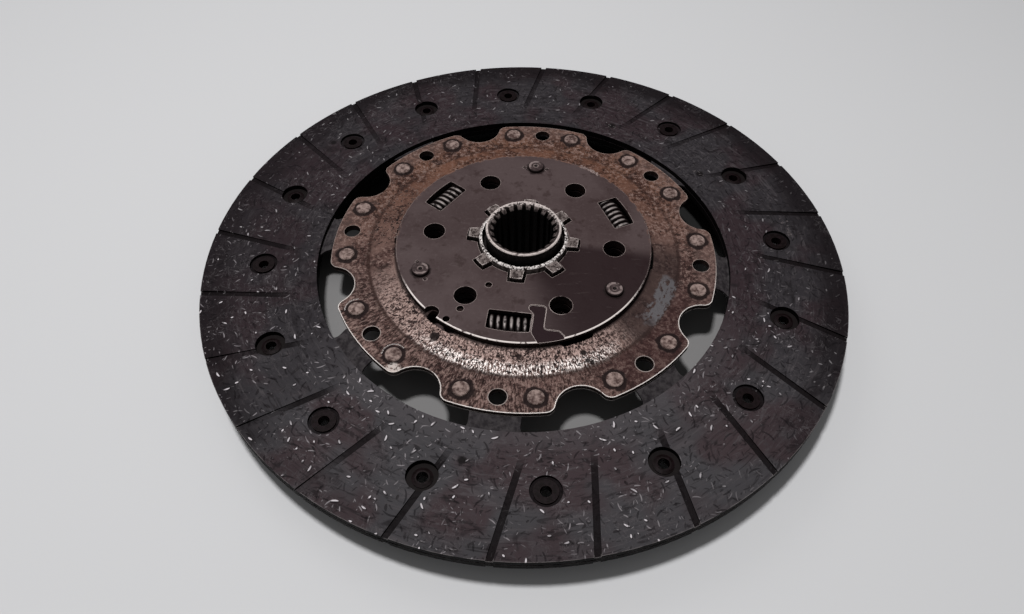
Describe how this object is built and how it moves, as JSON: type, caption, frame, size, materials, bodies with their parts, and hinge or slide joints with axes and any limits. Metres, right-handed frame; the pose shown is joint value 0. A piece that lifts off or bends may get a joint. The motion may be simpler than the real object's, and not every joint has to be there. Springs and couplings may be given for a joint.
{
  "type": "clutch disc",
  "caption": "Used sprung clutch disc: grooved ring facings riveted to cushion segments, a rusted drive plate, a cover with coil springs in windows, and a splined, toothed hub.",
  "frame": {"origin": "centre of the hub's lower end face, on the hub axis", "axes": "+Z along the hub axis, towards the side with the cover plate and collar; -Y towards the viewer's side"},
  "size_m": [0.24, 0.24, 0.0278],
  "materials": {
    "facing": "worn resin-bonded friction lining with short pale fibres, scuffed and dusty",
    "rivet": "dull copper-brown tubular rivets, dirty",
    "plate_rivet": "pale worn rivet heads with rust round them",
    "drive_plate": "pressed steel plate, rusted and pitted, scraped bright in front",
    "cover": "dark brown phosphated steel sheet, lightly rusted, edges rubbed bright",
    "segment": "blue-grey spring sheet, dusty",
    "hub": "forged steel with rubbed bright rims and a dark wall",
    "inner_steel": "dark hardened steel, oily",
    "bolt": "riveted steel bolt heads, brown with a rubbed rim",
    "spring": "spring steel wire, dark with bright rubbed tops",
    "friction_washer": "moulded friction ring, matt dark",
    "bush": "moulded guide bush, matt dark"
  },
  "bodies": {
    "disc": {"cover_plate": "cover", "cushion_segment_1": "segment", "cushion_segment_2": "segment", "cushion_segment_3": "segment", "cushion_segment_4": "segment", "cushion_segment_5": "segment", "cushion_segment_6": "segment", "cushion_segment_7": "segment", "cushion_segment_8": "segment", "damper_spring_1": "spring", "damper_spring_2": "spring", "damper_spring_3": "spring", "drive_plate": "drive_plate", "facing_lower": "facing", "facing_rivets_lower": "rivet", "facing_rivets_upper": "rivet", "facing_upper": "facing", "friction_washer_lower": "friction_washer", "friction_washer_upper": "friction_washer", "guide_bush": "bush", "rear_plate": "cover", "segment_rivets": "plate_rivet", "spacer_bolts": "bolt", "spring_washer": "inner_steel"},
    "hub": {"hub": "hub", "hub_flange": "inner_steel"}
  },
  "joints": [
    {"name": "hub_turn", "type": "hinge", "parent": "disc", "child": "hub", "pos_m": [0, 0, 0.0139], "axis": [0, 0, 1], "range_deg": [-2.3, 2.3], "stiffness_Nm_per_rad": 210, "deforming": ["damper_spring_1", "damper_spring_2", "damper_spring_3"]}
  ]
}
